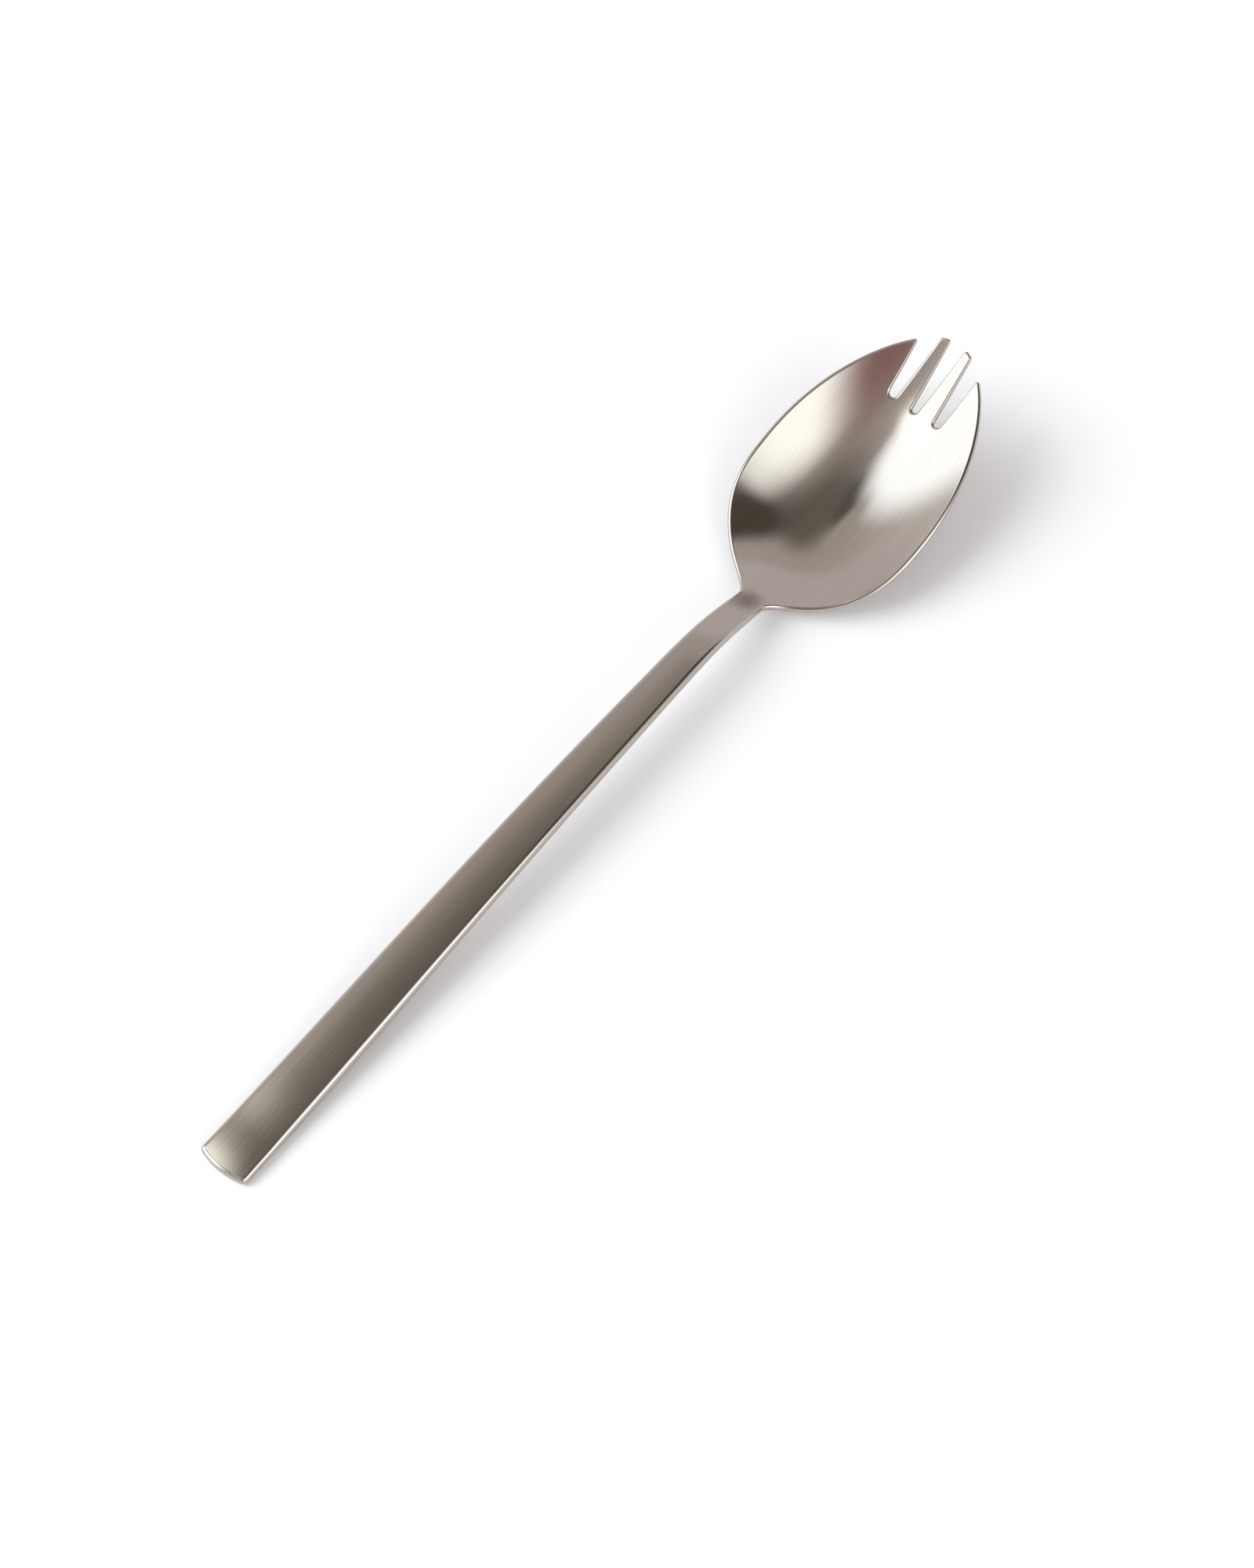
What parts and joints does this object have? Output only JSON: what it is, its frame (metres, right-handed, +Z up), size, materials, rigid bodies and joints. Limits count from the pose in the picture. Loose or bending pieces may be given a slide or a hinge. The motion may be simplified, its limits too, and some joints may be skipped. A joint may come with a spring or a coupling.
{
  "type": "snack fork",
  "caption": "One-piece steel snack fork with a flat arched handle and a spoon-shaped bowl that is slotted into short tines at its front.",
  "frame": {"origin": "on the table that the fork lies on, under the middle of its length and width", "axes": "+X along the fork from the handle to the tines, +Z up out of the bowl, so that +Y is the fork's left side when it is looked at from above with the tines ahead"},
  "size_m": [0.1508, 0.0278, 0.0142],
  "materials": {
    "steel": "satin, brushed lengthwise"
  },
  "bodies": {
    "root": {"fork_body": "steel"}
  },
  "joints": []
}
